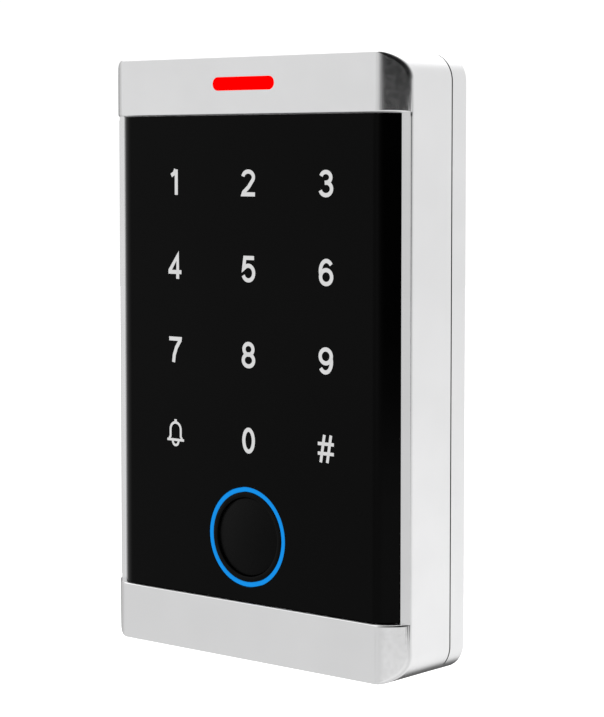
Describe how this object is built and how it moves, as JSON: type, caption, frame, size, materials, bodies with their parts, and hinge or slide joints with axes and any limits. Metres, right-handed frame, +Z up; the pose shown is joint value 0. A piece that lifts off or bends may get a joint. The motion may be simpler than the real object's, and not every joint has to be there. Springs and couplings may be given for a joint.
{
  "type": "fingerprint access terminal",
  "caption": "Wall-mounted access terminal with a touch keypad, a round fingerprint sensor in a light ring and a status light, its front hooked onto a back plate.",
  "frame": {"origin": "centre of the flat back face that lies against the wall", "axes": "+X to the right seen from the front, +Y into the wall, +Z up; the front faces -Y"},
  "size_m": [0.0948, 0.026, 0.147],
  "materials": {
    "housing_metal": "satin bead-blasted silver",
    "plate_metal": "satin bead-blasted silver",
    "panel_black": "high gloss",
    "sensor_black": "satin",
    "bezel_black": "gloss",
    "light_red": "diffusing, lit",
    "ring_blue": "diffusing, lit",
    "acrylic_clear": "frosted",
    "film_black": "matte print",
    "foam_black": "matte foam",
    "rubber_black": "matte",
    "plastic_black": "moulded",
    "plastic_white": "moulded",
    "circuit_board": "solder mask",
    "ribbon_amber": "film",
    "can_aluminium": "satin",
    "screw_steel": "zinc plated"
  },
  "bodies": {
    "wall_side": {"back_plate": "plate_metal", "gasket": "rubber_black", "cable_grommet": "rubber_black"},
    "front_unit": {"front_housing": "housing_metal", "touch_panel": "panel_black", "panel_seal": "foam_black", "legend_film": "film_black", "backlight_guide": "acrylic_clear", "touch_board": "circuit_board", "ring_light_guide": "ring_blue", "sensor_bezel": "bezel_black", "sensor_pad": "sensor_black", "sensor_board": "circuit_board", "sensor_carrier": "plastic_black", "sensor_screw_1": "screw_steel", "sensor_screw_2": "screw_steel", "sensor_ribbon": "ribbon_amber", "status_light_pipe": "light_red", "indicator_board": "circuit_board", "status_led_1": "plastic_white", "status_led_2": "plastic_white", "main_board": "circuit_board", "board_screw_1": "screw_steel", "board_screw_2": "screw_steel", "board_screw_3": "screw_steel", "board_screw_4": "screw_steel", "processor_chip": "plastic_black", "board_connector": "plastic_white", "relay": "plastic_black", "capacitor": "can_aluminium", "buzzer": "plastic_black", "harness_header": "plastic_white", "tamper_switch_body": "plastic_black"},
    "tamper_plunger": {"tamper_plunger": "plastic_white"},
    "screw_carrier": {"case_screw_washer": "screw_steel"},
    "case_screw": {"case_screw": "screw_steel"}
  },
  "joints": [
    {"name": "front_tilt", "type": "hinge", "parent": "wall_side", "child": "front_unit", "pos_m": [0, -0.00565, 0.0735], "axis": [-1, 0, 0], "range_deg": [0, 25]},
    {"name": "tamper_travel", "type": "slide", "parent": "front_unit", "child": "tamper_plunger", "axis": [0, 1, 0], "range_m": [0, 0.00121]},
    {"name": "case_screw_travel", "type": "slide", "parent": "wall_side", "child": "screw_carrier", "axis": [0, 0, -1], "range_m": [0, 0.0015]},
    {"name": "case_screw_turn", "type": "hinge", "parent": "screw_carrier", "child": "case_screw", "pos_m": [0, -0.01, -0.0705], "axis": [0, 0, -1], "range_deg": [0, 1090]}
  ],
  "couplings": [
    {"joint": "tamper_travel", "follows": "front_tilt", "m_per_rad": 0.00275},
    {"joint": "case_screw_turn", "follows": "case_screw_travel", "rad_per_m": 12566}
  ]
}
